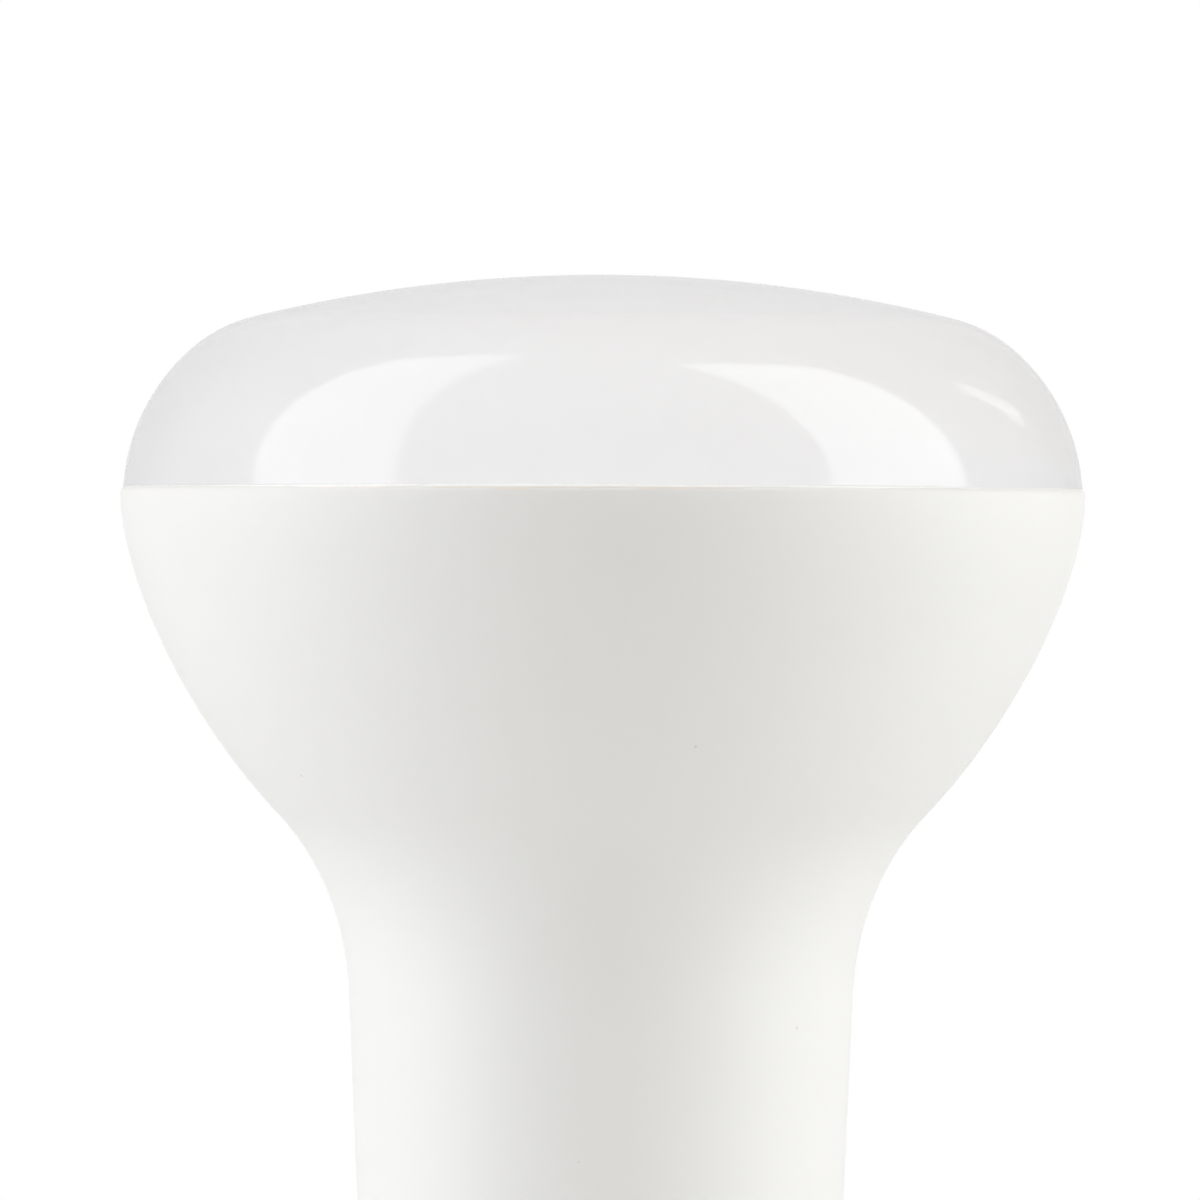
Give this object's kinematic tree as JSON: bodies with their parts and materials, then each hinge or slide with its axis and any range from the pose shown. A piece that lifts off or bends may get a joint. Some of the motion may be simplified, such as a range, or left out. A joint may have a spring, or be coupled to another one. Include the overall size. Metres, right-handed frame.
{
  "type": "reflector bulb",
  "caption": "Reflector lamp with a glossy opal dome on a matte white bell-shaped housing, a tapered neck and a screw cap; it screws into a lampholder and throws its light forward.",
  "frame": {"origin": "centre of the centre contact's face, on the bulb's axis, where the cap bottoms in its lampholder", "axes": "+Z along the bulb's axis from the contact to the crown of the dome; X and Y are free, the bulb being round"},
  "size_m": [0.063, 0.063, 0.103],
  "materials": {
    "opal_plastic": "glossy opal white",
    "white_plastic": "matte warm white",
    "cap_metal": "bright plated",
    "black_insulator": "glossy black",
    "contact_metal": "plated, satin"
  },
  "bodies": {
    "root": {"diffuser_dome": "opal_plastic", "housing": "white_plastic", "screw_shell": "cap_metal", "insulator": "black_insulator", "centre_contact": "contact_metal"}
  },
  "joints": []
}
